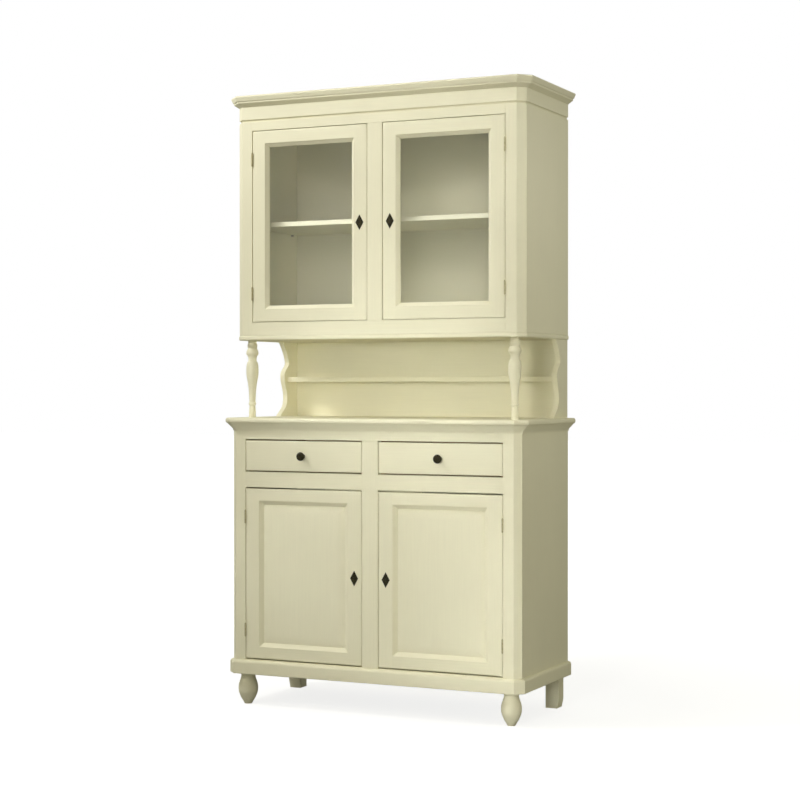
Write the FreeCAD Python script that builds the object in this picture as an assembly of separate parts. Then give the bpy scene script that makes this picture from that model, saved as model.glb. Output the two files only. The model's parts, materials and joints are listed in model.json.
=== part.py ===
import FreeCAD, Part
import math
import os

# A two-part dresser: a base cabinet with two drawers over two doors, and a glazed hutch
# that stands on it on two turned balusters and two scroll-cut brackets.
# Millimetres. +X is to the right as seen from the front, +Y points to the wall, +Z is up.
# The origin is on the floor under the middle of the bounding box.

# ---- Sizes of the whole piece ----
body_width = 1070.0
base_depth = 452.0
upper_depth = 416.0
base_corner_cut = 21.0
upper_corner_cut = 25.0
worktop_overhang = 27.0
cornice_overhang = 27.0
plinth_overhang = 12.0
plinth_ledge = 1.5
plinth_bottom_round = 3.0

# ---- Heights, from the floor up ----
foot_height = 109.0
plinth_height = 47.5
base_bottom_rail_height = 50.5
base_opening_height = 592.0
base_mid_rail_height = 53.0
drawer_opening_height = 112.0
base_top_rail_height = 54.5
worktop_thickness = 19.0
niche_height = 267.0
upper_bottom_thickness = 16.0
upper_bottom_rail_height = 45.5
upper_opening_height = 661.0
upper_top_rail_height = 31.0
frieze_height = 52.5
cornice_height = 37.0

# ---- Boards ----
side_thickness = 20.0
frame_thickness = 28.0
back_thickness = 8.0
board_thickness = 18.0
base_post_width = 58.0
base_mullion_width = 59.0
upper_post_width = 64.5
upper_mullion_width = 55.0
frieze_thickness = 18.0
frieze_groove_height = 8.0
frieze_groove_depth = 5.0
bottom_bead_overhang = 2.0
bottom_bead_radius = 5.0
worktop_nosing_radius = 8.0
worktop_moulding_height = 25.0
worktop_moulding_reach = 21.0
worktop_splay_foot = 6.0
moulding_step = 3.0
cornice_nosing_height = 19.0
nosing_round = 6.0
cornice_fillet_reach = 18.0
cornice_splay_height = 12.0
crown_panel_thickness = 10.0

# ---- Shelves ----
shelf_thickness = 16.0
upper_shelf_height = 331.5
upper_shelf_setback = 50.0
base_shelf_height = 290.0
base_shelf_setback = 70.0
shelf_end_gap = 1.0
spice_shelf_thickness = 18.0
spice_shelf_height = 124.0
spice_shelf_reach = 80.0
pin_radius = 3.0
pin_length = 18.0
pin_hole_depth = 9.0
pin_inset = 45.0
pin_clearance = 0.1

# ---- Feet, legs and balusters ----
foot_inset_x = 45.0
foot_inset_y = 42.0
foot_radius = 34.0
leg_width = 48.0
leg_side_inset = 12.0
leg_back_inset = 11.0
leg_taper = 6.0
leg_taper_height = 30.0
block_width = 60.0
spigot_radius = 10.0
spigot_length = 26.0
spigot_clearance = 0.15
spigot_end_clearance = 0.6
baluster_radius = 21.3
baluster_inset_x = 45.0
baluster_setback = 35.0
bracket_thickness = 18.0
bracket_depth = 136.0

# ---- Doors ----
door_thickness = 22.0
door_gap = 2.0
base_end_gap = 4.5
edge_bevel_width = 5.0
edge_bevel_drop = 1.6
lower_stile_width = 50.5
lower_rail_height = 39.0
lower_moulding_width = 15.0
upper_stile_width = 46.5
upper_rail_height = 41.5
upper_moulding_width = 14.0
moulding_depth = 10.5
moulding_lip = 1.0
quirk_width = 2.0
quirk_drop = 1.5
panel_groove_depth = 9.0
panel_groove_width = 6.0
panel_tongue = 7.0
panel_bevel_width = 28.0
panel_field_drop = 0.5
glass_thickness = 4.0
glass_lap = 6.0
rebate_width = 8.0
bead_play = 0.2
bead_chamfer = 3.0
stop_height = 12.0
stop_length = 150.0
stop_depth = 14.0
stop_play = 0.8

# ---- Hinges ----
hinge_height = 42.0
hinge_inset = 97.0
knuckle_radius = 3.0
hinge_pin_radius = 1.4
hinge_pin_clearance = 0.06
knuckle_play = 0.3
leaf_thickness = 0.8
leaf_depth = 19.0
hinge_tip_height = 3.0
hinge_relief = 1.0

# ---- Locks ----
lock_backset = 27.0
lock_case_width = 46.0
lock_case_height = 62.0
lock_case_thickness = 11.0
bolt_height = 13.0
bolt_thickness = 4.0
bolt_setback = 1.5
bolt_throw = 8.0
bolt_play = 0.4
bolt_length = 40.0
bolt_drop = 12.0
mortise_play = 3.0
escutcheon_width = 29.5
escutcheon_height = 52.0
escutcheon_thickness = 2.0
escutcheon_rim = 1.6
keyhole_radius = 2.4
keyhole_slot_width = 2.6
keyhole_length = 9.0

# ---- Drawers ----
drawer_gap = 2.0
drawer_front_thickness = 22.0
drawer_side_thickness = 12.0
drawer_bottom_thickness = 6.0
drawer_bottom_lift = 8.0
drawer_side_play = 2.0
drawer_bottom_play = 0.7
drawer_top_play = 4.0
drawer_back_play = 22.0
guide_height = 20.0
kicker_lap = 25.0
knob_radius = 15.0
knob_reach = 25.0
knob_face_radius = 5.0
knob_widest = 17.0
knob_neck_radius = 5.5
knob_neck_end = 10.5
knob_base_radius = 9.0
knob_base_thickness = 1.5
knob_base_flare = 3.5
knob_stud_radius = 2.0
knob_stud_clearance = 0.15
screw_head_radius = 5.0
screw_head_height = 2.5

# ---- Levels that follow from the heights ----
base_z = foot_height
base_opening_z = base_z + base_bottom_rail_height
mid_rail_z = base_opening_z + base_opening_height
drawer_z = mid_rail_z + base_mid_rail_height
base_top_rail_z = drawer_z + drawer_opening_height
worktop_z = base_top_rail_z + base_top_rail_height
niche_z = worktop_z + worktop_thickness
upper_z = niche_z + niche_height
upper_rail_z = upper_z + upper_bottom_thickness
upper_opening_z = upper_rail_z + upper_bottom_rail_height
upper_top_rail_z = upper_opening_z + upper_opening_height
frieze_z = upper_top_rail_z + upper_top_rail_height
cornice_z = frieze_z + frieze_height
top_z = cornice_z + cornice_height

# ---- Planes that follow from the depths and widths ----
back_y = (base_depth + worktop_overhang) / 2
base_front_y = back_y - base_depth
upper_front_y = back_y - upper_depth
inside_back_y = back_y - back_thickness
side_x = body_width / 2
inside_x = side_x - side_thickness
base_opening_outer_x = side_x - base_post_width
base_opening_inner_x = base_mullion_width / 2
upper_opening_outer_x = side_x - upper_post_width
upper_opening_inner_x = upper_mullion_width / 2
foot_x = side_x - foot_inset_x
foot_y = base_front_y + foot_inset_y
leg_x = side_x - leg_side_inset - leg_width / 2
leg_y = back_y - leg_back_inset - leg_width / 2
baluster_x = side_x - baluster_inset_x
baluster_y = upper_front_y + baluster_setback
base_shelf_z = base_opening_z + base_shelf_height
upper_shelf_z = upper_opening_z + upper_shelf_height
spice_shelf_z = niche_z + spice_shelf_height

# Turned outlines: each run is a smooth stretch of (share of height, share of greatest radius)
# and the outline steps sharply where one run ends and the next begins.
foot_runs = (
    ((0.0, 0.38), (0.03, 0.43), (0.09, 0.54), (0.15, 0.66), (0.21, 0.76), (0.28, 0.86),
     (0.39, 0.97), (0.50, 1.0), (0.61, 0.97), (0.70, 0.89), (0.78, 0.80), (0.86, 0.73),
     (0.92, 0.71)),
    ((0.93, 0.76), (0.965, 0.78), (1.0, 0.76)),
)
baluster_runs = (
    ((0.0, 0.57), (0.011, 0.59), (0.024, 0.57)),
    ((0.030, 0.54), (0.07, 0.56), (0.115, 0.52), (0.155, 0.48)),
    ((0.160, 0.53), (0.18, 0.62), (0.198, 0.53)),
    ((0.205, 0.51), (0.31, 0.57), (0.40, 0.66), (0.47, 0.80), (0.53, 0.94), (0.59, 1.0),
     (0.65, 0.99), (0.695, 0.92), (0.722, 0.80)),
    ((0.726, 0.70), (0.75, 0.66), (0.775, 0.68), (0.80, 0.79), (0.816, 0.92)),
    ((0.820, 0.97), (0.836, 1.0), (0.86, 0.95), (0.885, 0.82), (0.90, 0.70)),
    ((0.904, 0.76), (0.93, 0.81), (0.958, 0.76)),
    ((0.962, 0.68), (0.98, 0.70), (1.0, 0.68)),
)
# The scroll-cut brackets' front edge, as (share of height, share of greatest depth).
bracket_outline = (
    (0.0, 1.0), (0.065, 0.847), (0.145, 0.675), (0.25, 0.618), (0.36, 0.662), (0.47, 0.75),
    (0.57, 0.765), (0.645, 0.647), (0.71, 0.529), (0.79, 0.566), (0.90, 0.691), (1.0, 0.853),
)

X_AXIS = FreeCAD.Vector(1, 0, 0)
Y_AXIS = FreeCAD.Vector(0, 1, 0)
Z_AXIS = FreeCAD.Vector(0, 0, 1)
ORIGIN = FreeCAD.Vector(0, 0, 0)
overcut = 1.0
# Two levels or two points nearer than this are the same.
tolerance = 1e-4


# ---- Shapes ----
def box(x0, x1, y0, y1, z0, z1):
    """A board between two corners."""
    return Part.makeBox(x1 - x0, y1 - y0, z1 - z0, FreeCAD.Vector(x0, y0, z0))


def rod(radius, height, base, axis):
    """A round bar from base along axis."""
    return Part.makeCylinder(radius, height, base, axis)


def slab(points, z0, z1):
    """A flat outline in plan, raised from z0 to z1."""
    corners = [FreeCAD.Vector(x, y, z0) for x, y in points]
    wire = Part.makePolygon(corners + corners[:1])
    return Part.Face(wire).extrude(FreeCAD.Vector(0, 0, z1 - z0))


def mirrored(shape):
    """The same piece on the other side of the dresser."""
    return shape.mirror(ORIGIN, X_AXIS)


def both_sides(shape):
    return [shape, mirrored(shape)]


def plan(front_y, corner_cut, grow=0.0):
    """The cabinet's outline in plan, from the back left corner round the front."""
    slip = grow * math.tan(math.radians(22.5))
    wide = side_x + grow
    cut_y = front_y + corner_cut - slip
    flat_x = side_x - corner_cut + slip
    right = [(flat_x, front_y - grow), (wide, cut_y), (wide, back_y)]
    left = [(-x, y) for x, y in reversed(right)]
    return left + right


def quarter(start, end, corner):
    """A quarter-round move from start to end that bulges towards corner."""
    share = math.sqrt(2) - 1
    middle = tuple((a + b) / 2 + (c - (a + b) / 2) * share for a, b, c in zip(start, end, corner))
    return (middle, end)


def outline_face(outline, place):
    """The face inside an outline: a point, then moves that are points, or (through, end) arcs."""
    edges = []
    first = place(*outline[0])
    here = first
    for move in outline[1:]:
        if isinstance(move[0], tuple):
            end = place(*move[1])
            edges.append(Part.Arc(here, place(*move[0]), end).toShape())
        else:
            end = place(*move)
            edges.append(Part.LineSegment(here, end).toShape())
        here = end
    edges.append(Part.LineSegment(here, first).toShape())
    return Part.Face(Part.Wire(edges))


def mitred_strips(path, outline, reach, closed=False):
    """Strips of one moulding along a path in plan, mitred where the path turns.

    The outline is (distance to the right of the path, height), and reach is its least and
    greatest distance and its least and greatest height.
    """
    near, far, low, high = reach
    spots = [FreeCAD.Vector(x, y, 0) for x, y in path]
    count = len(spots)
    ways = []
    for i in range(count if closed else count - 1):
        ways.append((spots[(i + 1) % count] - spots[i]).normalize())
    sides = [FreeCAD.Vector(way.y, -way.x, 0) for way in ways]

    def corner(i, distance):
        before = sides[(i - 1) % len(sides)] if closed or i > 0 else sides[0]
        after = sides[i % len(sides)] if closed or i < len(sides) else sides[-1]
        return spots[i % count] + (before + after) * (distance / (1 + before.dot(after)))

    strips = []
    for i, way in enumerate(ways):
        start = spots[i] - way * far
        length = (spots[(i + 1) % count] - spots[i]).Length + 2 * far
        face = outline_face(outline, lambda d, h: start + sides[i] * d + FreeCAD.Vector(0, 0, h))
        sector = [corner(i, near), corner(i + 1, near), corner(i + 1, far), corner(i, far)]
        cutter = slab([(p.x, p.y) for p in sector], low, high)
        strips.append(face.extrude(way * length).common(cutter).Solids[0])
    return strips


def stand_up(shape, front_y):
    """Turns a shape drawn flat, with its face up, to face the front at front_y."""
    raised = shape.copy()
    raised.rotate(ORIGIN, X_AXIS, 90)
    raised.translate(FreeCAD.Vector(0, front_y, 0))
    return raised


def inset_rectangle(area, inset):
    x0, x1, z0, z1 = area
    return (x0 + inset, x1 - inset, z0 + inset, z1 - inset)


def inward_path(area):
    """Corners of a rectangle in an order that has its inside on the right."""
    x0, x1, z0, z1 = area
    return [(x0, z0), (x0, z1), (x1, z1), (x1, z0)]


def bevelled_block(area, front_y, thickness):
    """A leaf with a small bevel round its front edge."""
    x0, x1, z0, z1 = area
    body = box(x0, x1, front_y + edge_bevel_drop, front_y + thickness, z0, z1)
    rim = inset_rectangle(area, edge_bevel_width)
    return body.fuse(front_wedge(area, rim, front_y + edge_bevel_drop, front_y)).removeSplitter()


def front_wedge(area, front_area, deep_y, front_y):
    """A block that narrows from one upright rectangle at deep_y to another nearer the front."""
    wires = []
    for (x0, x1, z0, z1), y in ((area, deep_y), (front_area, front_y)):
        corners = [FreeCAD.Vector(x, y, z) for x, z in ((x0, z0), (x1, z0), (x1, z1), (x0, z1))]
        wires.append(Part.makePolygon(corners + corners[:1]))
    return Part.makeLoft(wires, True, True)


def turned(runs, height, radius, x, y, z):
    """A turned post on a vertical axis, from its runs of outline."""
    edges = []
    here = FreeCAD.Vector(0, 0, 0)
    for run in runs:
        spots = [FreeCAD.Vector(r * radius, 0, share * height) for share, r in run]
        if (spots[0] - here).Length > tolerance:
            edges.append(Part.LineSegment(here, spots[0]).toShape())
        curve = Part.BSplineCurve()
        curve.interpolate(spots)
        edges.append(curve.toShape())
        here = spots[-1]
    top = FreeCAD.Vector(0, 0, height)
    edges.append(Part.LineSegment(here, top).toShape())
    edges.append(Part.LineSegment(top, ORIGIN).toShape())
    solid = Part.Face(Part.Wire(edges)).revolve(ORIGIN, Z_AXIS, 360)
    solid.translate(FreeCAD.Vector(x, y, z))
    return solid


def save(node, *shapes):
    """Writes one node, made of one or more separate solids."""
    solids = [solid for shape in shapes for solid in shape.Solids]
    for solid in solids:
        if not solid.isValid() or solid.Volume <= 0:
            raise ValueError(f"{node} has a faulty solid")
    shape = solids[0] if len(solids) == 1 else Part.makeCompound(solids)
    shape.exportStep(os.path.join("parts", node + ".step"))


# ---- Feet, legs and the blocks that hold them ----
def spigot(x, y, clearance=0.0, end_clearance=0.0):
    """The round tenon on top of a foot, or with clearances the hole that it stands in."""
    foot = FreeCAD.Vector(x, y, base_z)
    return rod(spigot_radius + clearance, spigot_length + end_clearance, foot, Z_AXIS)


def front_foot():
    foot = turned(foot_runs, foot_height, foot_radius, foot_x, foot_y, 0)
    return foot.fuse(spigot(foot_x, foot_y)).removeSplitter()


def back_leg():
    half = leg_width / 2
    leg = box(leg_x - half, leg_x + half, leg_y - half, leg_y + half, 0, foot_height)
    outer = [(half + overcut, 0), (half - leg_taper, 0), (half, leg_taper_height)]
    outer.append((half + overcut, leg_taper_height))
    corners = [FreeCAD.Vector(leg_x + d, leg_y - half - overcut, z) for d, z in outer]
    wire = Part.makePolygon(corners + corners[:1])
    wedge = Part.Face(wire).extrude(FreeCAD.Vector(0, leg_width + 2 * overcut, 0))
    return leg.cut(wedge).fuse(spigot(leg_x, leg_y)).removeSplitter()


def corner_block(x, y, y0, y1):
    top = base_opening_z - board_thickness
    block = box(inside_x - block_width, inside_x, y0, y1, base_z, top)
    return block.cut(spigot(x, y, spigot_clearance, spigot_end_clearance))


def plinth():
    """Skirting strips round the foot of the cabinet, with a rounded top edge."""
    out = plinth_overhang
    high = plinth_height
    ledge = plinth_ledge
    shoulder = high - (out - ledge)
    low = plinth_bottom_round
    outline = [(0, 0), (out - low, 0), quarter((out - low, 0), (out, low), (out, 0))]
    outline += [(out, shoulder), quarter((out, shoulder), (ledge, high), (out, high))]
    outline += [(0, high)]
    path = plan(base_front_y, base_corner_cut)
    strips = mitred_strips(path, outline, (-overcut, 2 * out, -overcut, high + overcut))
    return [strip.translated(FreeCAD.Vector(0, 0, base_z)) for strip in strips]


# ---- Cabinet parts that the base and the hutch share ----
def post(front_y, corner_cut, opening_x, z0, z1):
    """A front corner post with its outer corner cut off."""
    back = front_y + frame_thickness
    cut_y = front_y + corner_cut
    outline = [(opening_x, front_y), (side_x - corner_cut, front_y), (side_x, cut_y)]
    outline += [(side_x, back), (opening_x, back)]
    return slab(outline, z0, z1)


def lock_mortise(opening_x, front_y, lock_z):
    """The notch in a mullion that a thrown bolt enters."""
    half = bolt_height / 2 + bolt_play
    z = lock_z - bolt_drop
    deep_x = opening_x + door_gap - bolt_throw - mortise_play
    deep_y = front_y + door_thickness + bolt_setback - bolt_play
    back = front_y + frame_thickness + overcut
    return box(deep_x, opening_x + overcut, deep_y, back, z - half, z + half)


def mullion(front_y, opening_x, z0, z1, lock_z):
    bar = box(-opening_x, opening_x, front_y, front_y + frame_thickness, z0, z1)
    for notch in both_sides(lock_mortise(opening_x, front_y, lock_z)):
        bar = bar.cut(notch)
    return bar


def rail(front_y, x0, x1, z0, z1):
    return box(x0, x1, front_y, front_y + frame_thickness, z0, z1)


def door_stop(front_y, opening_x, rail_z):
    """A strip under the rail above a door, that the door closes against."""
    y0 = front_y + door_thickness + stop_play
    return box(opening_x, opening_x + stop_length, y0, y0 + stop_depth, rail_z - stop_height, rail_z)


def pin_spots(front_y, setback, shelf_z):
    """Where the pins under one end of a shelf stand."""
    front = front_y + setback + pin_inset
    return [(y, shelf_z - pin_radius) for y in (front, inside_back_y - pin_inset)]


def shelf_pin(y, z):
    start = FreeCAD.Vector(inside_x - pin_length + pin_hole_depth, y, z)
    return rod(pin_radius, pin_length, start, X_AXIS)


def pin_hole(y, z):
    start = FreeCAD.Vector(inside_x - overcut, y, z)
    return rod(pin_radius + pin_clearance, pin_hole_depth + pin_clearance + overcut, start, X_AXIS)


def side_panel(front_y, z0, z1, spots):
    panel = box(inside_x, side_x, front_y + frame_thickness, back_y, z0, z1)
    for y, z in spots:
        panel = panel.cut(pin_hole(y, z))
    return panel


def shelf(front_y, setback, z):
    end_x = inside_x - shelf_end_gap
    return box(-end_x, end_x, front_y + setback, inside_back_y, z, z + shelf_thickness)


# ---- Base cabinet ----
def base_cabinet():
    front = base_front_y
    inner, outer = base_opening_inner_x, base_opening_outer_x
    lock_z = base_opening_z + base_opening_height / 2
    spots = pin_spots(front, base_shelf_setback, base_shelf_z)
    side = side_panel(front, base_z, worktop_z, spots)
    save("base_side_right", side)
    save("base_side_left", mirrored(side))
    frame = both_sides(post(front, base_corner_cut, outer, base_z, worktop_z))
    frame.append(rail(front, -outer, outer, base_z, base_opening_z))
    frame.append(rail(front, -outer, outer, base_top_rail_z, worktop_z))
    frame += both_sides(rail(front, inner, outer, mid_rail_z, drawer_z))
    frame.append(mullion(front, inner, base_opening_z, base_top_rail_z, lock_z))
    frame += both_sides(door_stop(front, inner, mid_rail_z))
    save("base_face_frame", *frame)
    inside_y = front + frame_thickness
    floor_z = base_opening_z - board_thickness
    save("base_bottom_board", box(-inside_x, inside_x, inside_y, inside_back_y, floor_z, base_opening_z))
    save("base_back", box(-inside_x, inside_x, inside_back_y, back_y, base_z, worktop_z))
    save("base_shelf", shelf(front, base_shelf_setback, base_shelf_z))
    dust_z = drawer_z - board_thickness
    save("dust_board", box(-inside_x, inside_x, inside_y, inside_back_y, dust_z, drawer_z))
    blocks = both_sides(corner_block(foot_x, foot_y, inside_y, inside_y + block_width))
    blocks += both_sides(corner_block(leg_x, leg_y, inside_back_y - block_width, inside_back_y))
    save("corner_blocks", *blocks)
    save("front_feet", *both_sides(front_foot()))
    save("back_legs", *both_sides(back_leg()))
    save("plinth", *plinth())
    return spots


def drawer_guides():
    """Strips that guide the drawers at the bottom and keep them from tipping at the top."""
    front = base_front_y + frame_thickness
    strips = []
    for z, lap in ((drawer_z, 0.0), (base_top_rail_z, kicker_lap)):
        outer = base_opening_outer_x - lap
        inner = base_opening_inner_x + lap
        strips += both_sides(box(outer, inside_x, front, inside_back_y, z, z + guide_height))
        strips.append(box(-inner, inner, front, inside_back_y, z, z + guide_height))
    return strips


# ---- Worktop and niche ----
def rounded_board(front_y, corner_cut, grow, z0, z1, radius):
    """A board with the cabinet's outline, and with its front and side edges rounded."""
    board = slab(plan(front_y, corner_cut, grow), z0, z1)
    edges = []
    for edge in board.Edges:
        middle = edge.CenterOfMass
        level = abs(edge.Vertexes[0].Z - edge.Vertexes[1].Z) < tolerance
        if level and middle.y < back_y - tolerance:
            edges.append(edge)
    return board.makeFillet(radius, edges)


def worktop_moulding():
    """Splayed moulding under the worktop's edge."""
    high = worktop_moulding_height
    out = worktop_moulding_reach
    step = moulding_step
    outline = [(0, 0), (step, 0), (step, worktop_splay_foot), (out, high), (0, high)]
    path = plan(base_front_y, base_corner_cut)
    strips = mitred_strips(path, outline, (-overcut, 2 * out, -overcut, high + overcut))
    return [strip.translated(FreeCAD.Vector(0, 0, worktop_z - high)) for strip in strips]


def side_bracket():
    """A board cut to a scroll, that carries the back of the hutch."""
    spots = []
    for share, depth_share in bracket_outline:
        z = niche_z + share * niche_height
        spots.append(FreeCAD.Vector(inside_x, back_y - depth_share * bracket_depth, z))
    curve = Part.BSplineCurve()
    curve.interpolate(spots)
    foot = FreeCAD.Vector(inside_x, back_y, niche_z)
    head = FreeCAD.Vector(inside_x, back_y, upper_z)
    edges = [curve.toShape()]
    edges.append(Part.LineSegment(spots[-1], head).toShape())
    edges.append(Part.LineSegment(head, foot).toShape())
    edges.append(Part.LineSegment(foot, spots[0]).toShape())
    return Part.Face(Part.Wire(edges)).extrude(FreeCAD.Vector(bracket_thickness, 0, 0))


def niche():
    grow = worktop_overhang
    top = rounded_board(base_front_y, base_corner_cut, grow, worktop_z, niche_z, worktop_nosing_radius)
    save("worktop", top)
    save("worktop_moulding", *worktop_moulding())
    baluster = turned(baluster_runs, niche_height, baluster_radius, baluster_x, baluster_y, niche_z)
    save("balusters", *both_sides(baluster))
    save("side_brackets", *both_sides(side_bracket()))
    shelf_top = spice_shelf_z + spice_shelf_thickness
    front = back_y - spice_shelf_reach
    save("spice_shelf", box(-inside_x, inside_x, front, inside_back_y, spice_shelf_z, shelf_top))
    save("hutch_back", box(-inside_x, inside_x, inside_back_y, back_y, niche_z, frieze_z))


# ---- Hutch ----
def upper_cabinet():
    front = upper_front_y
    inner, outer = upper_opening_inner_x, upper_opening_outer_x
    lock_z = upper_opening_z + upper_opening_height / 2
    bottom = rounded_board(front, upper_corner_cut, bottom_bead_overhang, upper_z, upper_rail_z,
                           bottom_bead_radius)
    bottom = bottom.cut(box(-inside_x, inside_x, inside_back_y, back_y + overcut, upper_z, upper_rail_z))
    save("upper_bottom_board", bottom)
    spots = pin_spots(front, upper_shelf_setback, upper_shelf_z)
    side = side_panel(front, upper_rail_z, frieze_z, spots)
    save("upper_side_right", side)
    save("upper_side_left", mirrored(side))
    frame = both_sides(post(front, upper_corner_cut, outer, upper_rail_z, frieze_z))
    frame.append(rail(front, -outer, outer, upper_rail_z, upper_opening_z))
    frame.append(rail(front, -outer, outer, upper_top_rail_z, frieze_z))
    frame.append(mullion(front, inner, upper_opening_z, upper_top_rail_z, lock_z))
    frame += both_sides(door_stop(front, inner, upper_top_rail_z))
    save("upper_face_frame", *frame)
    save("upper_shelf", shelf(front, upper_shelf_setback, upper_shelf_z))
    roof_z = frieze_z - board_thickness
    floor_z = upper_opening_z - board_thickness
    inside_y = front + frame_thickness
    floor = box(-inside_x, inside_x, inside_y, inside_back_y, floor_z, upper_opening_z)
    save("upper_floor_board", floor)
    save("upper_top_board", box(-inside_x, inside_x, inside_y, inside_back_y, roof_z, frieze_z))
    return spots


def crown():
    """Frieze boards, the cornice moulding on them and the panel that closes the top."""
    path = plan(upper_front_y, upper_corner_cut)
    deep = frieze_groove_depth
    groove = frieze_groove_height
    inner = -frieze_thickness
    outline = [(inner, 0), (-deep, 0), (-deep, groove), (0, groove), (0, frieze_height)]
    outline.append((inner, frieze_height))
    reach = (inner - overcut, 2 * frieze_thickness, -overcut, frieze_height + overcut)
    strips = mitred_strips(path, outline, reach)
    boards = [strip.translated(FreeCAD.Vector(0, 0, frieze_z)) for strip in strips]
    end_x = side_x - frieze_thickness
    lid_z = top_z - crown_panel_thickness
    boards.append(box(-end_x, end_x, back_y - frieze_thickness, back_y, frieze_z, lid_z))
    save("frieze", *boards)
    out = cornice_overhang
    curl = nosing_round
    high = cornice_height
    low = high - cornice_nosing_height
    fillet = cornice_fillet_reach
    curve_x = out - curl
    outline = [(inner, 0), (0, 0), (fillet, cornice_splay_height), (fillet, low)]
    outline += [(fillet + moulding_step, low), (out, high - curl)]
    outline += [quarter((out, high - curl), (curve_x, high), (out, high)), (inner, high)]
    reach = (inner - overcut, 2 * (out + frieze_thickness), -overcut, cornice_height + overcut)
    strips = mitred_strips(path, outline, reach)
    save("cornice", *[strip.translated(FreeCAD.Vector(0, 0, cornice_z)) for strip in strips])
    lid = plan(upper_front_y, upper_corner_cut, inner)
    save("crown_panel", slab(lid, lid_z, top_z))


# ---- Doors ----
def leaf_area(inner, outer, z0, height, side_gap, end_gap):
    """The upright rectangle (x0, x1, z0, z1) of a door or drawer front in its opening on the right."""
    return (inner + side_gap, outer - side_gap, z0 + end_gap, z0 + height - end_gap)


def keyhole(area, front_y, depth):
    """A round hole over a slot, through everything from front_y back."""
    x = area[0] + lock_backset
    z = (area[2] + area[3]) / 2
    start = front_y - 2 * escutcheon_thickness
    hole = rod(keyhole_radius, depth, FreeCAD.Vector(x, start, z + keyhole_length / 4), Y_AXIS)
    half = keyhole_slot_width / 2
    slot = box(x - half, x + half, start, start + depth, z - keyhole_length / 2, z + keyhole_length / 4)
    return hole.fuse(slot)


def frame_members(area, front_y, stile, rail_height, moulding, rebate):
    """Two stiles and two rails, with a moulding on their inner edge and a groove or rebate."""
    x0, x1, z0, z1 = area
    sight = (x0 + stile, x1 - stile, z0 + rail_height, z1 - rail_height)
    deep = -moulding_depth
    lip = deep - moulding_lip
    back = -door_thickness
    outline = [(0, 0), (quirk_width, 0), (quirk_width, -quirk_drop), (moulding, deep), (moulding, lip)]
    if rebate:
        root = moulding - rebate_width
        outline += [(root, lip), (root, back), (0, back)]
    else:
        root = moulding - panel_groove_depth
        cheek = lip - panel_groove_width
        outline += [(root, lip), (root, cheek), (moulding, cheek), (moulding, back), (0, back)]
    reach = (0, 4 * moulding, back - overcut, overcut)
    strips = [stand_up(s, front_y) for s in mitred_strips(inward_path(sight), outline, reach, True)]
    back_y0 = front_y + door_thickness
    boards = [box(x0, sight[0], front_y, back_y0, z0, z1)]
    boards.append(box(sight[0], sight[1], front_y, back_y0, sight[3], z1))
    boards.append(box(sight[1], x1, front_y, back_y0, z0, z1))
    boards.append(box(sight[0], sight[1], front_y, back_y0, z0, sight[2]))
    shaped = bevelled_block(area, front_y, door_thickness)
    members = []
    for board, strip in zip(boards, strips):
        members.append(board.fuse(strip).removeSplitter().common(shaped))
    members[0] = members[0].cut(keyhole(area, front_y, 4 * door_thickness))
    return members, inset_rectangle(sight, moulding)


def raised_panel(daylight, front_y):
    """A panel with a bevelled border, its edges in the frame's groove."""
    groove_y = front_y + moulding_depth + moulding_lip
    edge = inset_rectangle(daylight, -panel_tongue)
    groove_back = groove_y + panel_groove_width
    tongue = box(edge[0], edge[1], groove_y, groove_back, edge[2], edge[3])
    field = inset_rectangle(daylight, panel_bevel_width)
    crest = front_y + panel_field_drop
    return tongue.fuse(front_wedge(daylight, field, groove_y, crest)).removeSplitter()


def glass_pane(daylight, front_y):
    edge = inset_rectangle(daylight, -glass_lap)
    y0 = front_y + moulding_depth + moulding_lip
    return box(edge[0], edge[1], y0, y0 + glass_thickness, edge[2], edge[3])


def glazing_beads(daylight, front_y):
    """Strips behind the glass that hold it in its rebate."""
    front = -(moulding_depth + moulding_lip + glass_thickness)
    wide = rebate_width - bead_play
    outline = [(bead_play, front), (wide, front), (wide, -door_thickness + bead_chamfer)]
    outline += [(wide - bead_chamfer, -door_thickness), (bead_play, -door_thickness)]
    path = inward_path(inset_rectangle(daylight, -rebate_width))
    reach = (0, 4 * wide, -door_thickness - overcut, overcut)
    return [stand_up(s, front_y) for s in mitred_strips(path, outline, reach, True)]


def escutcheon(area, front_y):
    """A diamond plate with a bevelled rim and a keyhole."""
    x = area[0] + lock_backset
    z = (area[2] + area[3]) / 2
    wires = []
    layers = ((0.0, 0.0), (escutcheon_thickness / 2, 0.0), (escutcheon_thickness, escutcheon_rim))
    for lift, inset in layers:
        w = escutcheon_width / 2 - inset
        h = escutcheon_height / 2 - inset * escutcheon_height / escutcheon_width
        corners = [FreeCAD.Vector(x + dx, front_y - lift, z + dz)
                   for dx, dz in ((w, 0), (0, h), (-w, 0), (0, -h))]
        wires.append(Part.makePolygon(corners + corners[:1]))
    plate = Part.makeLoft(wires[:2], True, True).fuse(Part.makeLoft(wires[1:], True, True))
    return plate.removeSplitter().cut(keyhole(area, front_y, 4 * door_thickness))


def bolt_box(area, front_y, play=0.0):
    """The lock bolt, or with play the channel that it slides in."""
    x0 = area[0] + (0 if play == 0 else -overcut)
    y0 = front_y + door_thickness + bolt_setback
    z = (area[2] + area[3]) / 2 - bolt_drop
    half = bolt_height / 2
    x1 = area[0] + bolt_length + play
    return box(x0, x1, y0 - play, y0 + bolt_thickness + play, z - half - play, z + half + play)


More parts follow.
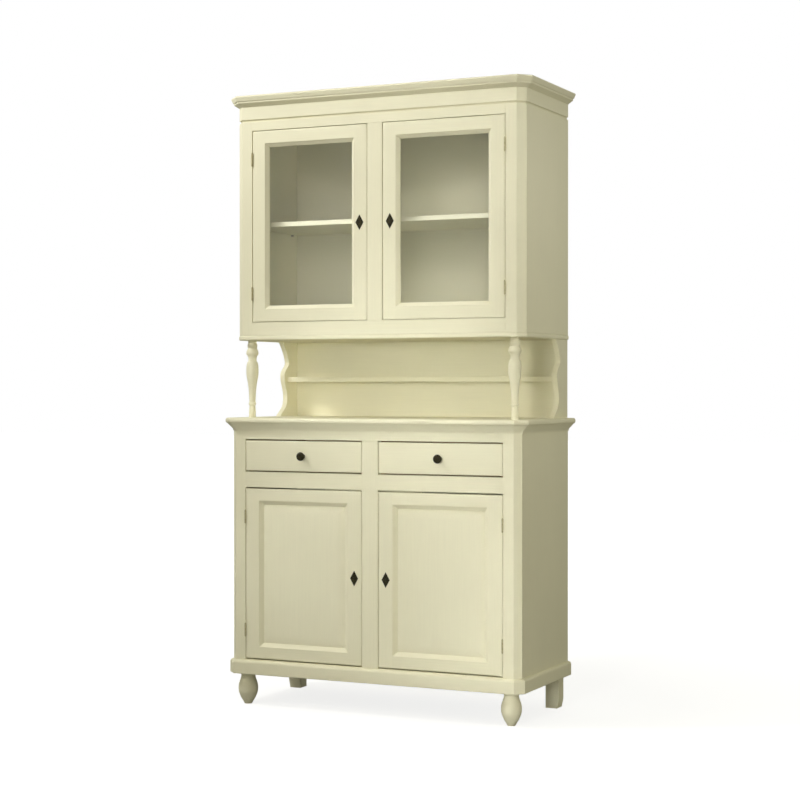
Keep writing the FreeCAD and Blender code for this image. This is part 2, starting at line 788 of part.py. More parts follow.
def lock(area, front_y):
    """The lock case on the back of the stile and its bolt, drawn back."""
    z = (area[2] + area[3]) / 2
    half = lock_case_height / 2
    y0 = front_y + door_thickness
    case = box(area[0], area[0] + lock_case_width, y0, y0 + lock_case_thickness, z - half, z + half)
    case = case.cut(bolt_box(area, front_y, bolt_play))
    case = case.cut(keyhole(area, front_y, door_thickness + 2 * escutcheon_thickness + bolt_setback))
    return case, bolt_box(area, front_y)


def knuckle(x, y, z, height):
    return rod(knuckle_radius, height, FreeCAD.Vector(x, y, z), Z_AXIS)


def hinge(area, front_y, centre_z):
    """One butt hinge: the half on the door, and the half on the post with its pin."""
    gap_x = area[1] + door_gap / 2
    pin_y = front_y - knuckle_radius
    z0 = centre_z - hinge_height / 2
    third = hinge_height / 3
    bore_radius = hinge_pin_radius + hinge_pin_clearance
    bore = rod(bore_radius, hinge_height, FreeCAD.Vector(gap_x, pin_y, z0), Z_AXIS)
    middle = knuckle(gap_x, pin_y, z0 + third + knuckle_play, third - 2 * knuckle_play)
    web_y = front_y + hinge_relief
    door_x0 = area[1]
    door_leaf = box(door_x0, door_x0 + leaf_thickness, pin_y, front_y + leaf_depth, z0, z0 + hinge_height)
    ends_z = (z0 - overcut, z0 + 2 * third - knuckle_play)
    for low in ends_z:
        clear = box(gap_x - 2 * knuckle_radius, gap_x + 2 * knuckle_radius, pin_y - 2 * knuckle_radius,
                    web_y, low, low + third + knuckle_play + overcut)
        door_leaf = door_leaf.cut(clear)
    door_half = door_leaf.fuse(middle).removeSplitter().cut(bore)
    post_x = area[1] + door_gap
    post_leaf = box(post_x - leaf_thickness, post_x, pin_y, front_y + leaf_depth, z0, z0 + hinge_height)
    clear = box(gap_x - 2 * knuckle_radius, gap_x + 2 * knuckle_radius, pin_y - 2 * knuckle_radius,
                web_y, z0 + third, z0 + 2 * third)
    post_half = post_leaf.cut(clear)
    for low in (z0, z0 + 2 * third):
        post_half = post_half.fuse(knuckle(gap_x, pin_y, low, third))
    post_half = post_half.fuse(rod(hinge_pin_radius, hinge_height, FreeCAD.Vector(gap_x, pin_y, z0), Z_AXIS))
    for end, way in ((z0, -1), (z0 + hinge_height, 1)):
        tip = Part.makeCone(knuckle_radius, knuckle_radius / 3, hinge_tip_height,
                            FreeCAD.Vector(gap_x, pin_y, end), Z_AXIS * way)
        post_half = post_half.fuse(tip)
    return door_half, post_half.removeSplitter()


def door(name, area, front_y, glazed):
    """Both doors of one cabinet. Returns the hinge halves that stay on the posts."""
    if glazed:
        members, daylight = frame_members(area, front_y, upper_stile_width, upper_rail_height,
                                          upper_moulding_width, True)
        members += glazing_beads(daylight, front_y)
        filling = glass_pane(daylight, front_y)
        filling_name = "glass"
    else:
        members, daylight = frame_members(area, front_y, lower_stile_width, lower_rail_height,
                                          lower_moulding_width, False)
        filling = raised_panel(daylight, front_y)
        filling_name = "panel"
    plate = escutcheon(area, front_y)
    case, bolt = lock(area, front_y)
    halves = [hinge(area, front_y, z) for z in (area[2] + hinge_inset, area[3] - hinge_inset)]
    door_halves = [half[0] for half in halves]
    post_halves = [half[1] for half in halves]
    for side, turn in (("right", lambda s: s), ("left", mirrored)):
        save(f"{name}_door_frame_{side}", *[turn(m) for m in members])
        save(f"{name}_door_{filling_name}_{side}", turn(filling))
        save(f"{name}_escutcheon_{side}", turn(plate))
        save(f"{name}_lock_case_{side}", turn(case))
        save(f"{name}_lock_bolt_{side}", turn(bolt))
        save(f"{name}_hinge_leaves_{side}", *[turn(h) for h in door_halves])
    return [turned_half for half in post_halves for turned_half in both_sides(half)]


# ---- Drawers ----
def knob(x, z):
    """A turned knob with its stud, and the screw head inside the drawer."""
    face = base_front_y
    out = knob_reach
    rim = (knob_radius, knob_widest)
    neck = knob_neck_radius
    foot = (knob_base_radius, knob_base_thickness)
    flare = (neck, knob_base_thickness + knob_base_flare)
    outline = [(0, 0), (knob_base_radius, 0), foot, quarter(foot, flare, (neck, knob_base_thickness))]
    outline += [(neck, knob_neck_end), quarter((neck, knob_neck_end), rim, (knob_radius, knob_neck_end))]
    outline += [quarter(rim, (knob_face_radius, out), (knob_radius, out)), (0, out)]
    flat = outline_face(outline, lambda r, h: FreeCAD.Vector(x + r, face - h, z))
    body = flat.revolve(FreeCAD.Vector(x, face, z), Y_AXIS, 360)
    deep = face + drawer_front_thickness
    stud = rod(knob_stud_radius, drawer_front_thickness, FreeCAD.Vector(x, face, z), Y_AXIS)
    head = rod(screw_head_radius, screw_head_height, FreeCAD.Vector(x, deep, z), Y_AXIS)
    return body.fuse(stud).fuse(head).removeSplitter()


def drawers():
    inner, outer = base_opening_inner_x, base_opening_outer_x
    area = leaf_area(inner, outer, drawer_z, drawer_opening_height, drawer_gap, base_end_gap)
    x = (area[0] + area[1]) / 2
    z = (area[2] + area[3]) / 2
    hole_radius = knob_stud_radius + knob_stud_clearance
    start = FreeCAD.Vector(x, base_front_y - overcut, z)
    hole = rod(hole_radius, drawer_front_thickness + 2 * overcut, start, Y_AXIS)
    front = bevelled_block(area, base_front_y, drawer_front_thickness).cut(hole)
    x0 = inner + drawer_side_play
    x1 = outer - drawer_side_play
    y0 = base_front_y + drawer_front_thickness
    y1 = inside_back_y - drawer_back_play
    z0 = drawer_z + drawer_bottom_play
    z1 = base_top_rail_z - drawer_top_play
    wall = drawer_side_thickness
    floor_z = z0 + drawer_bottom_lift
    walls = [box(x0, x0 + wall, y0, y1, z0, z1), box(x1 - wall, x1, y0, y1, z0, z1)]
    walls.append(box(x0 + wall, x1 - wall, y1 - wall, y1, z0, z1))
    floor = box(x0 + wall, x1 - wall, y0, y1 - wall, floor_z, floor_z + drawer_bottom_thickness)
    for side, turn in (("right", lambda s: s), ("left", mirrored)):
        save(f"drawer_front_{side}", turn(front))
        save(f"drawer_box_{side}", *[turn(w) for w in walls], turn(floor))
        save(f"knob_{side}", turn(knob(x, z)))


def main():
    os.makedirs("parts", exist_ok=True)
    spots = base_cabinet()
    save("drawer_guides", *drawer_guides())
    niche()
    spots += upper_cabinet()
    crown()
    pins = [pin for y, z in spots for pin in both_sides(shelf_pin(y, z))]
    save("shelf_pins", *pins)
    lower = leaf_area(base_opening_inner_x, base_opening_outer_x, base_opening_z, base_opening_height,
                      door_gap, base_end_gap)
    upper = leaf_area(upper_opening_inner_x, upper_opening_outer_x, upper_opening_z,
                      upper_opening_height, door_gap, door_gap)
    halves = door("lower", lower, base_front_y, False) + door("upper", upper, upper_front_y, True)
    save("hinge_post_leaves", *halves)
    drawers()


main()
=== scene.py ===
import json
import math
import random

import bmesh
import bpy
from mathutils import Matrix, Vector
from mathutils.bvhtree import BVHTree

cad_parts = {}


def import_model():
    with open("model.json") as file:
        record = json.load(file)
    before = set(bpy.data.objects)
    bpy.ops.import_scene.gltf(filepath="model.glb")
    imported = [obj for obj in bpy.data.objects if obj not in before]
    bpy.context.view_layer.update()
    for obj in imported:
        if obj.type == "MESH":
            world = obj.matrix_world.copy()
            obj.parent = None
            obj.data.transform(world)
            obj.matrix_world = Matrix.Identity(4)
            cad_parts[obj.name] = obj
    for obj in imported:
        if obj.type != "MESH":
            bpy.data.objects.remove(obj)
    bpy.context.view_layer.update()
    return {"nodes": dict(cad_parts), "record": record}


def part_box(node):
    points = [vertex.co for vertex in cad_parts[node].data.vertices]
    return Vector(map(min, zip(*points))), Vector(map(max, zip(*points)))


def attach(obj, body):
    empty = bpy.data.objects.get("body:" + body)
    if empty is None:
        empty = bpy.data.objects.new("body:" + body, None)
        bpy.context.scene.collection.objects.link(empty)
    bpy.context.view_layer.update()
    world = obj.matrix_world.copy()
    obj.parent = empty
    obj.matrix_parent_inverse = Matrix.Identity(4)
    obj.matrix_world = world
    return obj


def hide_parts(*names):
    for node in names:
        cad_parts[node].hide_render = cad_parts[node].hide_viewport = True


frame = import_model()

# Metres throughout, in the frame of the CAD part.
MM = 0.001
AXES = ("x", "y", "z")

CREAM = (0.85, 0.82, 0.61)
# A greyer cream for the insides, also made darker than the outside as painted shade of the closed rooms.
CREAM_INSIDE_SHADED = (0.74, 0.715, 0.555)
PINE_LIGHT = (0.70, 0.50, 0.29, 1)
PINE_DARK = (0.50, 0.31, 0.15, 1)
GLASS_TINT = (0.97, 0.99, 0.97, 1)
FLOOR_TONE = (0.40, 0.40, 0.39, 1)
WHITE = (1, 1, 1, 1)

# How far, in metres, the pattern is moved at most from one board to the next, each way.
SHIFT_REACH = 4

# Eased edges of boards and of metal, and the hairline left where two pieces meet.
EASE = 0.9 * MM
JOINT = 0.18 * MM
METAL_EASE = 0.35 * MM
METAL_JOINT = 0.1 * MM
NARROWEST_EASE = 0.03 * MM
EASE_SEGMENTS = 2
# An eased edge takes up this share at most of the shortest edge that meets it.
EASE_SHARE = 0.3

# Faces that turn by less than FLAT_ANGLE become one. Edges under FOLD_ANGLE belong to a curve, and inner
# corners under INNER_ANGLE are shaded smooth, as are the edges of small fittings under FITTING_ANGLE.
FLAT_ANGLE = math.radians(0.3)
FOLD_ANGLE = math.radians(28)
INNER_ANGLE = math.radians(40)
FITTING_ANGLE = math.radians(35)

# An edge meets another solid where most of the points at these shares of it are within CONTACT_REACH of it.
CONTACT_SHARES = (0.2, 0.5, 0.8)
CONTACT_REACH = 0.06 * MM
# How far in front of a face the test looks for a room.
ROOM_LOOK = 0.2 * MM

# A keyhole's round part and slot, with heights from the middle of the key plate.
KEYHOLE_RADIUS = 2.4 * MM
KEYHOLE_HALF_SLOT = 1.3 * MM
KEYHOLE_RISE = 2.25 * MM
KEYHOLE_DROP = 4.5 * MM
KEYHOLE_STEPS = 20
# A dark sleeve lines the keyhole through the door and paints the shade inside it.
SHADE_SLEEVE_OUTER_INSET = 0.04 * MM
SHADE_SLEEVE_INNER_INSET = 0.45 * MM
SHADE_SLEEVE_SETBACK = 0.3 * MM

NAIL_OFFSET = 18.0 * MM
NAIL_SINK = 0.05 * MM
NAIL_RADIUS = 1.5 * MM
NAIL_HEIGHT = 0.8 * MM
NAIL_RINGS = 4
NAIL_SIDES = 16

FLOOR_REACH = 30
# The floor's own glow, from the object outward: distances in metres and strengths.
GLOW_NEAR, GLOW_FAR = 0.9, 3.0
GLOW_UNDER, GLOW_AWAY = 0.80, 1.0

# Angles in degrees, lens and sensor in millimetres.
CAMERA_PLACE = (2.6406, -5.5783, 1.091)
CAMERA_TILT = -0.37
CAMERA_TURN = 25.24
CAMERA_LENS = 80.87
CAMERA_SENSOR = 36


# ---- Materials ----
class Graph:
    """A material and the few calls that its nodes are made with."""

    def __init__(self, name):
        self.material = bpy.data.materials.new(name)
        self.material.use_nodes = True
        self.tree = self.material.node_tree
        self.shader = self.tree.nodes["Principled BSDF"]

    def put(self, node, socket, value):
        if isinstance(value, bpy.types.NodeSocket):
            self.tree.links.new(value, node.inputs[socket])
        else:
            node.inputs[socket].default_value = value

    def add(self, kind, inputs=(), **settings):
        node = self.tree.nodes.new("ShaderNode" + kind)
        for name, value in settings.items():
            setattr(node, name, value)
        for socket, value in dict(inputs).items():
            self.put(node, socket, value)
        return node

    def finish(self, **inputs):
        for socket, value in inputs.items():
            self.put(self.shader, socket.replace("_", " "), value)
        return self.material

    def place(self, scale):
        """Coordinates in the object's own frame, moved for each board and stretched by scale."""
        where = self.add("TexCoord").outputs["Object"]
        shift = self.add("Attribute", attribute_name="shift").outputs["Vector"]
        moved = self.add("VectorMath", {0: where, 1: shift}, operation="ADD").outputs[0]
        return self.add("VectorMath", {0: moved, 1: scale}, operation="MULTIPLY").outputs[0]

    def noise(self, scale, detail=2.0, roughness=0.5):
        inputs = {"Vector": self.place(scale), "Scale": 1.0, "Detail": detail, "Roughness": roughness}
        return self.add("TexNoise", inputs).outputs["Fac"]

    def span(self, value, low, high, start=0.3, end=0.7):
        """value between start and end, carried over to between low and high."""
        inputs = {"Value": value, "From Min": start, "From Max": end, "To Min": low, "To Max": high}
        return self.add("MapRange", inputs).outputs["Result"]

    def times(self, a, b):
        return self.add("Math", {0: a, 1: b}, operation="MULTIPLY").outputs[0]

    def shade(self, colour, value):
        return self.add("VectorMath", {0: colour, "Scale": value}, operation="SCALE").outputs[0]

    def bump(self, height, distance, strength):
        inputs = {"Height": height, "Distance": distance, "Strength": strength}
        return self.add("Bump", inputs).outputs["Normal"]


def along(axis, lengthwise, across):
    """Texture scales for a pattern that runs along one axis."""
    return tuple(lengthwise if a == axis else across for a in AXES)


def paint(name, axis, colour):
    """Satin paint put on with a brush along the board."""
    g = Graph(f"{name}_{axis}")
    strokes = g.noise(along(axis, lengthwise=7, across=300), detail=3.0, roughness=0.6)
    patches = g.noise((3.0, 3.0, 3.0), detail=3.0, roughness=0.55)
    tone = g.times(g.span(strokes, 0.985, 1.015), g.span(patches, 0.975, 1.02))
    return g.finish(
        Base_Color=g.shade(colour, tone),
        Roughness=g.span(strokes, 0.48, 0.60),
        Specular_IOR_Level=0.3,
        Normal=g.bump(strokes, distance=0.25 * MM, strength=0.5),
    )


def pine(axis):
    """Bare softwood: broad rings and fine fibres."""
    g = Graph(f"bare_pine_{axis}")
    rings = g.add("TexWave", {
        "Vector": g.place(along(axis, lengthwise=0.6, across=10)), "Scale": 2.2, "Distortion": 5.0,
        "Detail": 3.0, "Detail Scale": 1.4,
    }, wave_type="RINGS", rings_direction=axis.upper()).outputs["Fac"]
    fibres = g.noise(along(axis, lengthwise=12, across=700), detail=3.0, roughness=0.6)
    ramp = g.add("ValToRGB", {"Fac": rings})
    ramp.color_ramp.elements[0].color = PINE_LIGHT
    ramp.color_ramp.elements[1].color = PINE_DARK
    ramp.color_ramp.elements[1].position = 0.95
    return g.finish(
        Base_Color=g.shade(ramp.outputs["Color"], g.span(fibres, 0.88, 1.08)),
        Roughness=g.span(fibres, 0.6, 0.75),
        Normal=g.bump(fibres, distance=0.15 * MM, strength=0.6),
    )


def metal(name, dark, light, roughness, grain, metallic, brushed=None):
    """Metal with a patina of two tones."""
    g = Graph(name)
    cloud = g.noise((grain, grain, grain), detail=4.0, roughness=0.6)
    scale = along(brushed, lengthwise=40, across=2500) if brushed else (1500, 1500, 1500)
    fine = g.noise(scale)
    ramp = g.add("ValToRGB", {"Fac": cloud})
    ramp.color_ramp.elements[0].color = (*dark, 1)
    ramp.color_ramp.elements[0].position = 0.35
    ramp.color_ramp.elements[1].color = (*light, 1)
    ramp.color_ramp.elements[1].position = 0.68
    return g.finish(
        Base_Color=ramp.outputs["Color"],
        Metallic=metallic,
        Roughness=g.span(fine, roughness - 0.06, roughness + 0.06),
        Normal=g.bump(fine, distance=0.02 * MM, strength=0.5),
    )


def glass():
    """Clear old glass. Shadow rays go through, so the lamps reach the shelves."""
    g = Graph("clear_glass")
    waves = g.noise((9, 9, 9), detail=1.0)
    g.finish(
        Base_Color=GLASS_TINT, Roughness=0.0, IOR=1.45, Transmission_Weight=1.0,
        Specular_IOR_Level=0.3,
        Normal=g.bump(waves, distance=0.5 * MM, strength=0.2),
    )
    light_path = g.add("LightPath")
    through = g.add("BsdfTransparent")
    mixed = g.add("MixShader", {
        0: light_path.outputs["Is Shadow Ray"], 1: g.shader.outputs[0], 2: through.outputs[0],
    })
    g.put(g.tree.nodes["Material Output"], "Surface", mixed.outputs[0])
    return g.material


materials = {}
for axis in AXES:
    materials["cream_paint", axis] = paint("cream_paint", axis, CREAM)
    materials["cream_paint_inside", axis] = paint("cream_paint_inside", axis, CREAM_INSIDE_SHADED)
    materials["bare_pine", axis] = pine(axis)
dark_bronze = metal(
    "dark_bronze", (0.020, 0.017, 0.008), (0.055, 0.046, 0.020), roughness=0.42, grain=90, metallic=0.7,
)
olive_brass = metal(
    "olive_brass", (0.42, 0.38, 0.21), (0.58, 0.53, 0.32), roughness=0.5, grain=120, metallic=0.2,
)
lock_steel = metal(
    "lock_steel", (0.30, 0.29, 0.27), (0.42, 0.41, 0.39), roughness=0.38, grain=60, metallic=0.95,
    brushed="z",
)
clear_glass = glass()
PLAIN = {
    "dark_bronze": dark_bronze, "olive_brass": olive_brass, "lock_steel": lock_steel,
    "clear_glass": clear_glass,
}


def material_for(slot, axis):
    """The material of a slot, with its pattern along an axis where it has one."""
    return materials.get((slot, axis)) or PLAIN[slot]


# ---- The record's slots and bodies ----
bodies = frame["record"]["behaviour"]["bodies"]
body_of = {node: body for body, members in bodies.items() for node in members}


def slot_of(node):
    """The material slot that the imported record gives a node."""
    return frame["nodes"][node].data.materials[0].name.split(".")[0]


slots = {node: slot_of(node) for node in frame["nodes"]}


# The rooms behind the doors, as (lowest corner, highest corner): their walls have the inside paint, greyer
# and also darker, as painted shade.
# The back of the hutch goes on down behind the niche, so it is split at ROOM_SPLIT_Z, where the edge of
# the hutch's bottom board hides the change of paint.
ROOMS = (
    ((-0.5155, -0.149, 1.3175), (0.5155, 0.232, 2.0115)),
    ((-0.5155, -0.185, 0.159), (0.5155, 0.232, 0.972)),
)
ROOM_SPLIT_Z = 1.265


def in_room(point):
    return any(all(low[i] < point[i] < high[i] for i in range(3)) for low, high in ROOMS)


# ---- Boards with eased edges, in place of the solids of a CAD node ----
def corner_key(point):
    """A corner's position, rounded so that equal corners compare equal."""
    return tuple(round(c, 6) for c in point)


def cad_solids(node):
    """The closed solids of a node's mesh, each a list of triangles of corner positions."""
    mesh = frame["nodes"][node].data
    keys = [corner_key(v.co) for v in mesh.vertices]
    solids, faces, open_edges = [], [], set()
    for polygon in mesh.polygons:
        corners = [keys[i] for i in polygon.vertices]
        if len(set(corners)) < len(corners):
            continue
        faces.append(corners)
        for a, b in zip(corners, corners[1:] + corners[:1]):
            if (b, a) in open_edges:
                open_edges.remove((b, a))
            else:
                open_edges.add((a, b))
        if not open_edges:
            solids.append(faces)
            faces = []
    return solids


all_solids = {node: cad_solids(node) for node in sorted(frame["nodes"])}


def contact_tree():
    """One search tree of every solid's triangles, and for each triangle the solid that owns it."""
    points, triangles, owners = [], [], []
    for node, solids in all_solids.items():
        for number, faces in enumerate(solids):
            for corners in faces:
                triangles.append(tuple(range(len(points), len(points) + len(corners))))
                points.extend(corners)
                owners.append((node, number))
    return BVHTree.FromPolygons(points, triangles, all_triangles=True), owners


tree, owners = contact_tree()


def touches(edge, owner):
    """Whether most of an edge lies on another solid."""
    a, b = (v.co for v in edge.verts)
    hits = 0
    for share in CONTACT_SHARES:
        near = tree.find_nearest_range(a.lerp(b, share), CONTACT_REACH)
        hits += any(owners[index] != owner for _, _, index, _ in near)
    return hits > 1


def long_axis(faces):
    points = [p for corners in faces for p in corners]
    spans = [max(p[i] for p in points) - min(p[i] for p in points) for i in range(3)]
    return AXES[spans.index(max(spans))]


def linked_object(name, bm, mats):
    """An object of the scene made from a bmesh, which is freed."""
    mesh = bpy.data.meshes.new(name)
    bm.to_mesh(mesh)
    bm.free()
    for mat in mats:
        mesh.materials.append(mat)
    made = bpy.data.objects.new(name, mesh)
    bpy.context.scene.collection.objects.link(made)
    return made


def edges_of(faces):
    """The edges of some faces, in a fixed order, so that each run gives the same mesh."""
    return list(dict.fromkeys(e for f in faces for e in f.edges))


def board_mesh(node, slot):
    """The boards of a node in one mesh, each with its own shift, and the materials on them."""
    bm = bmesh.new()
    bm.edges.layers.float.new("bevel_weight_edge")
    shift = bm.verts.layers.float_vector.new("shift")
    mats = []
    rng = random.Random(node)
    for faces in all_solids[node]:
        mat = material_for(slot, long_axis(faces))
        if mat not in mats:
            mats.append(mat)
        move = Vector([rng.uniform(-SHIFT_REACH, SHIFT_REACH) for _ in range(3)])
        verts = {}
        made = []
        for corners in faces:
            for p in corners:
                if p not in verts:
                    verts[p] = bm.verts.new(p)
                    verts[p][shift] = move
            face = bm.faces.new([verts[p] for p in corners])
            face.material_index = mats.index(mat)
            face.smooth = True
            made.append(face)
        bm.normal_update()
        bmesh.ops.dissolve_limit(
            bm, angle_limit=FLAT_ANGLE, verts=list(verts.values()), edges=edges_of(made),
        )
    bm.normal_update()
    return bm, mats


def split_at_room(bm):
    """Cuts the faces at ROOM_SPLIT_Z, so that each part can have a paint of its own."""
    whole = bm.verts[:] + bm.edges[:] + bm.faces[:]
    cut = {"plane_co": (0, 0, ROOM_SPLIT_Z), "plane_no": (0, 0, 1)}
    bmesh.ops.bisect_plane(bm, geom=whole, dist=1e-6, **cut)


def paint_rooms(bm, mats):
    """Puts the inside paint, darkened as painted shade, on faces that look into a room, and the outside
    paint on the others.
    """
    for face in bm.faces:
        inside = in_room(face.calc_center_median() + face.normal * ROOM_LOOK)
        way = mats[face.material_index].name[-1]
        mat = materials["cream_paint_inside" if inside else "cream_paint", way]
        if mat not in mats:
            mats.append(mat)
        face.material_index = mats.index(mat)


def linked_faces(bm):
    """The faces of each solid. They share no edge with another solid's, so the links find them."""
    left = set(bm.faces)
    groups = []
    for first in bm.faces:
        if first not in left:
            continue
        left.discard(first)
        todo = [first]
        group = [first]
        while todo:
            for e in todo.pop().edges:
                for f in e.link_faces:
                    if f in left:
                        left.discard(f)
                        group.append(f)
                        todo.append(f)
        groups.append(group)
    return groups


def weigh_edges(bm, node, ease, joint):
    """Marks how far each edge is eased, and which inner corners are shaded smooth."""
    weight = bm.edges.layers.float["bevel_weight_edge"]
    numbers = {}
    for number, faces in enumerate(all_solids[node]):
        for corners in faces:
            for p in corners:
                numbers.setdefault(p, set()).add(number)
    everyone = set(range(len(all_solids[node])))
    for group in linked_faces(bm):
        shared = everyone
        for f in group:
            for v in f.verts:
                shared = shared & numbers.get(corner_key(v.co), everyone)
        owner = (node, min(shared))
        for e in edges_of(group):
            if len(e.link_faces) != 2:
                continue
            angle = e.calc_face_angle(0.0)
            if angle < FOLD_ANGLE:
                continue
            if not e.is_convex:
                e.smooth = angle < INNER_ANGLE
                continue
            room = min(o.calc_length() for v in e.verts for o in v.link_edges)
            width = min(joint if touches(e, owner) else ease, EASE_SHARE * room)
            if width < NARROWEST_EASE:
                e.smooth = False
                continue
            e[weight] = width / ease


def eased(node, ease=EASE, joint=JOINT):
    """A piece that stands for a node: its boards, with their edges eased and joints left as hairlines."""
    slot = slots[node]
    bm, mats = board_mesh(node, slot)
    if node == "hutch_back":
        split_at_room(bm)
    if slot == "cream_paint" or node == "hutch_back":
        paint_rooms(bm, mats)
    weigh_edges(bm, node, ease, joint)
    piece = linked_object(f"{node}_piece", bm, mats)
    bevel = piece.modifiers.new("eased_edges", "BEVEL")
    bevel.limit_method = "WEIGHT"
    bevel.width = ease
    bevel.segments = EASE_SEGMENTS
    bevel.use_clamp_overlap = False
    bevel.miter_outer = "MITER_SHARP"
    shading = piece.modifiers.new("shading", "WEIGHTED_NORMAL")
    shading.keep_sharp = True
    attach(piece, body_of[node])
    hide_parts(node)


def keyhole_outline(x, z, inset):
    """A round hole over a slot, as points (x, z)."""
    radius, half = KEYHOLE_RADIUS - inset, KEYHOLE_HALF_SLOT - inset
    centre_z = z + KEYHOLE_RISE
    start = math.asin(half / radius)
    spots = []
    for i in range(KEYHOLE_STEPS + 1):
        turn = -math.pi / 2 + start + (2 * math.pi - 2 * start) * i / KEYHOLE_STEPS
        spots.append((x + radius * math.cos(turn), centre_z + radius * math.sin(turn)))
    low = z - KEYHOLE_DROP + inset
    return spots + [(x - half, low), (x + half, low)]


def ring_piece(name, outlines, body, mat):
    """A closed ring of walls through outlines of equally many points, each an (y, points) pair."""
    bm = bmesh.new()
    loops = [[bm.verts.new((x, y, z)) for x, z in points] for y, points in outlines]
    for before, after in zip(loops, loops[1:] + loops[:1]):
        for i in range(len(before)):
            j = (i + 1) % len(before)
            bm.faces.new((before[i], before[j], after[j], after[i]))
    bmesh.ops.recalc_face_normals(bm, faces=bm.faces[:])
    add_piece(name, bm, body, mat)


def add_piece(name, bm, body, mat):
    """A small fitting that rides on a body."""
    for face in bm.faces:
        face.smooth = True
    for edge in bm.edges:
        edge.smooth = len(edge.link_faces) == 2 and edge.calc_face_angle(0) < FITTING_ANGLE
    piece = linked_object(name, bm, [mat])
    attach(piece, body)


def nail(bm, centre, axis):
    """A round nail head that stands on a face at centre and points along axis."""
    way = Vector(axis).normalized()
    side = way.orthogonal().normalized()
    other = way.cross(side)
    loops = []
    for i in range(NAIL_RINGS):
        lift = math.sin(math.pi / 2 * i / NAIL_RINGS)
        reach = math.cos(math.pi / 2 * i / NAIL_RINGS)
        loop = []
        for k in range(NAIL_SIDES):
            turn = 2 * math.pi * k / NAIL_SIDES
            flat = side * math.cos(turn) + other * math.sin(turn)
            spot = Vector(centre) + flat * NAIL_RADIUS * reach + way * NAIL_HEIGHT * lift
            loop.append(bm.verts.new(spot))
        loops.append(loop)
    for before, after in zip(loops, loops[1:]):
        for k in range(NAIL_SIDES):
            j = (k + 1) % NAIL_SIDES
            bm.faces.new((before[k], before[j], after[j], after[k]))
    bm.faces.new(loops[0][::-1])
    tip = bm.verts.new(Vector(centre) + way * NAIL_HEIGHT)
    for k in range(NAIL_SIDES):
        bm.faces.new((loops[-1][k], loops[-1][(k + 1) % NAIL_SIDES], tip))


def door_fittings(door, level, side):
    """A dark sleeve that paints the shade inside the keyhole, and the nails of the key plate on one door.
    """
    low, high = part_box(f"{level}_escutcheon_{side}")
    x, z = (low.x + high.x) / 2, (low.z + high.z) / 2
    front = low.y + SHADE_SLEEVE_SETBACK
    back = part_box(f"{level}_lock_case_{side}")[1].y - SHADE_SLEEVE_SETBACK
    outer = keyhole_outline(x, z, SHADE_SLEEVE_OUTER_INSET)
    inner = keyhole_outline(x, z, SHADE_SLEEVE_INNER_INSET)
    layers = [(front, outer), (back, outer), (back, inner), (front, inner)]
    # The sleeve is dark bronze all through, as painted shade in the hole.
    ring_piece(f"{level}_keyhole_sleeve_{side}", layers, door, dark_bronze)
    bm = bmesh.new()
    for dz in (-NAIL_OFFSET, NAIL_OFFSET):
        nail(bm, (x, low.y + NAIL_SINK, z + dz), (0, -1, 0))
    add_piece(f"{level}_escutcheon_nails_{side}", bm, door, dark_bronze)


# Round pieces, hinges and panes are smooth enough in the CAD, so they keep its mesh.
TURNED = ("front_feet", "balusters", "knob_left", "knob_right", "shelf_pins", "hinge_post_leaves")
for node, cad in frame["nodes"].items():
    slot = slots[node]
    if node in TURNED or "hinge_leaves" in node or slot == "clear_glass":
        for place in cad.material_slots:
            place.material = material_for(slot, "z")
    elif slot in ("dark_bronze", "lock_steel"):
        eased(node, METAL_EASE, METAL_JOINT)
    else:
        eased(node)

for level in ("lower", "upper"):
    for side in ("left", "right"):
        door_fittings(f"{level}_door_{side}", level, side)


# ---- Floor, lamps, world and camera ----
def straight_sight(tree):
    """1 for a ray straight from the eye or on through glass, and 0 once it has been scattered."""
    path = tree.nodes.new("ShaderNodeLightPath")
    either = tree.nodes.new("ShaderNodeMath")
    either.operation = "MAXIMUM"
    tree.links.new(path.outputs["Is Camera Ray"], either.inputs[0])
    tree.links.new(path.outputs["Is Transmission Ray"], either.inputs[1])
    unscattered = tree.nodes.new("ShaderNodeMath")
    unscattered.operation = "LESS_THAN"
    tree.links.new(path.outputs["Diffuse Depth"], unscattered.inputs[0])
    unscattered.inputs[1].default_value = 0.5
    both = tree.nodes.new("ShaderNodeMath")
    both.operation = "MULTIPLY"
    tree.links.new(either.outputs[0], both.inputs[0])
    tree.links.new(unscattered.outputs[0], both.inputs[1])
    return both.outputs[0]


def stage_floor():
    """A pale floor that shows white, with the object's shadow on it."""
    g = Graph("pale_floor")
    g.finish(Base_Color=FLOOR_TONE, Roughness=0.9, Specular_IOR_Level=0.1)
    where = g.add("TexCoord").outputs["Object"]
    distance = g.add("VectorMath", {0: where}, operation="LENGTH").outputs["Value"]
    strength = g.span(distance, GLOW_UNDER, GLOW_AWAY, GLOW_NEAR, GLOW_FAR)
    glow = g.add("Emission", {"Color": WHITE, "Strength": strength})
    both = g.add("AddShader", {0: g.shader.outputs[0], 1: glow.outputs[0]})
    seen = straight_sight(g.tree)
    mixed = g.add("MixShader", {0: seen, 1: g.shader.outputs[0], 2: both.outputs[0]})
    g.put(g.tree.nodes["Material Output"], "Surface", mixed.outputs[0])
    bm = bmesh.new()
    bmesh.ops.create_grid(bm, x_segments=1, y_segments=1, size=FLOOR_REACH)
    floor = linked_object("floor", bm, [g.material])


def lamp(name, place, target, size, power, spread=180, colour=(1, 1, 1)):
    """A round lamp of a size in metres and a power in watts, with its beam's spread in degrees."""
    data = bpy.data.lights.new(name, "AREA")
    data.spread = math.radians(spread)
    data.shape = "DISK"
    data.size = size
    data.energy = power
    data.color = colour
    light = bpy.data.objects.new(name, data)
    bpy.context.scene.collection.objects.link(light)
    light.location = place
    light.rotation_euler = (Vector(target) - Vector(place)).to_track_quat("-Z", "Y").to_euler()


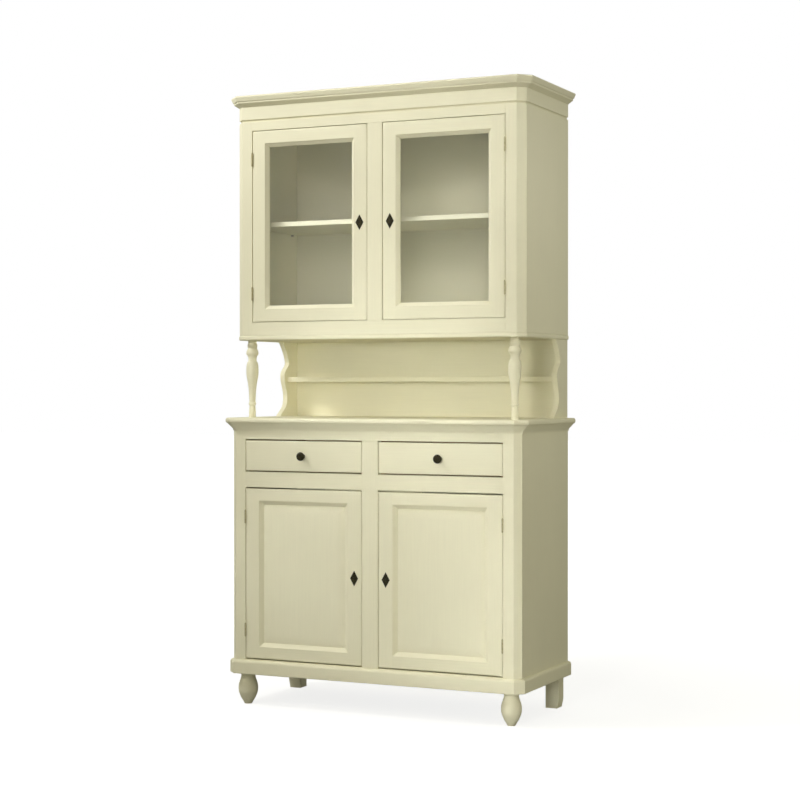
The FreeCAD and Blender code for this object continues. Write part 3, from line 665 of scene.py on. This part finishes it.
def world(strength, colour):
    """Even light all round, and white where it is seen directly or through glass."""
    made = bpy.data.worlds.new("studio")
    made.use_nodes = True
    bpy.context.scene.world = made
    nodes, links = made.node_tree.nodes, made.node_tree.links
    lit = nodes["Background"]
    lit.inputs["Color"].default_value = (*colour, 1)
    lit.inputs["Strength"].default_value = strength
    white = nodes.new("ShaderNodeBackground")
    white.inputs["Color"].default_value = WHITE
    mixed = nodes.new("ShaderNodeMixShader")
    links.new(straight_sight(made.node_tree), mixed.inputs[0])
    links.new(lit.outputs[0], mixed.inputs[1])
    links.new(white.outputs[0], mixed.inputs[2])
    links.new(mixed.outputs[0], nodes["World Output"].inputs["Surface"])


def camera():
    """The camera, upright but for a slight tilt down."""
    data = bpy.data.cameras.new("camera")
    data.sensor_width = CAMERA_SENSOR
    data.lens = CAMERA_LENS
    made = bpy.data.objects.new("camera", data)
    bpy.context.scene.collection.objects.link(made)
    made.location = CAMERA_PLACE
    made.rotation_euler = (math.radians(90 + CAMERA_TILT), 0, math.radians(CAMERA_TURN))
    bpy.context.scene.camera = made


stage_floor()
lamp("beam_front", (0.85, -5.2, 2.5), (0, 0, 1.2), 0.35, 10.0, colour=(1, 0.86, 0.81))
lamp("beam_left", (-2.65, -3.4, 2.96), (0, 0, 1.2), 0.55, 18.2, colour=(1, 0.94, 0.84))
lamp("lamp_left_high", (-1.6, -1.3, 2.9), (0, 0, 1.0), 0.3, 27.3)
lamp("lamp_right", (2.6, -1.3, 1.2), (0, 0, 1.0), 0.3, 5.8, colour=(1, 0.91, 0.62))
lamp("lamp_niche", (0.9, -2.9, 1.25), (0, 0.2, 1.1), 0.5, 1.0, 28)
lamp("lamp_bracket", (1.3, -2.0, 1.25), (-0.52, 0.12, 1.12), 0.3, 0.04, 12)
lamp("lamp_low_right", (0.7, -3.0, 0.5), (0.65, -0.2, 0.35), 0.6, 1.1, 30)
lamp("lamp_side", (3.0, -0.4, 2.2), (0.56, 0, 1.8), 1.0, 1.15, 60)
lamp("lamp_post", (1.6, -3.0, 2.2), (0.5, -0.18, 1.8), 0.5, 0.2, 16)
lamp("lamp_crown", (0.3, -3.0, 2.6), (0.1, -0.2, 2.15), 0.5, 0.6, 30)
lamp("lamp_panel", (-0.6, -2.6, 1.9), (-0.28, -0.2, 0.42), 0.4, 0.16, 16)
lamp("lamp_plinth", (0.3, -2.8, 0.9), (0.15, -0.2, 0.12), 0.6, 0.09, 16)
world(0.372, (1, 0.984, 0.82))
camera()
bpy.context.scene.view_settings.view_transform = "Standard"
